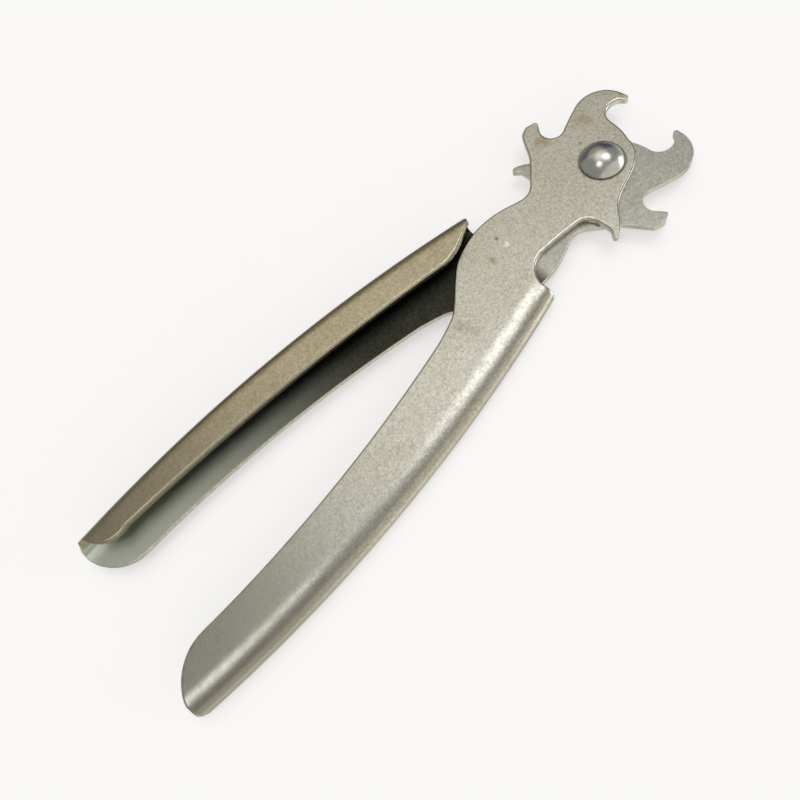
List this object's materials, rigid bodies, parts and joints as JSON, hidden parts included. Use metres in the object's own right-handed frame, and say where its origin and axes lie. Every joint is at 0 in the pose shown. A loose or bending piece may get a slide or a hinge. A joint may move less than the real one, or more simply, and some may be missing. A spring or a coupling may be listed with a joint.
{
  "type": "staple remover",
  "caption": "Plier-type staple remover: crossed pressed-steel levers on a domed rivet, with hooked jaws, side spurs and folded channel grips.",
  "frame": {"origin": "centre of the flat end of the rivet's set tail, on the pivot axis", "axes": "+X along the tool towards the jaws, +Z along the pivot axis towards the rivet's domed head, +Y towards the rear lever's grip"},
  "size_m": [0.1609, 0.0484, 0.0096],
  "materials": {
    "plated_steel": "satin nickel plating, slightly mottled",
    "polished_steel": "polished"
  },
  "bodies": {
    "rear": {"rear_lever": "plated_steel", "pivot_rivet": "polished_steel"},
    "front": {"front_lever": "plated_steel"}
  },
  "joints": [
    {"name": "lever_pivot", "type": "hinge", "parent": "rear", "child": "front", "pos_m": [0, 0, 0.00345], "axis": [0, 0, 1], "range_deg": [-2.5, 60]}
  ]
}
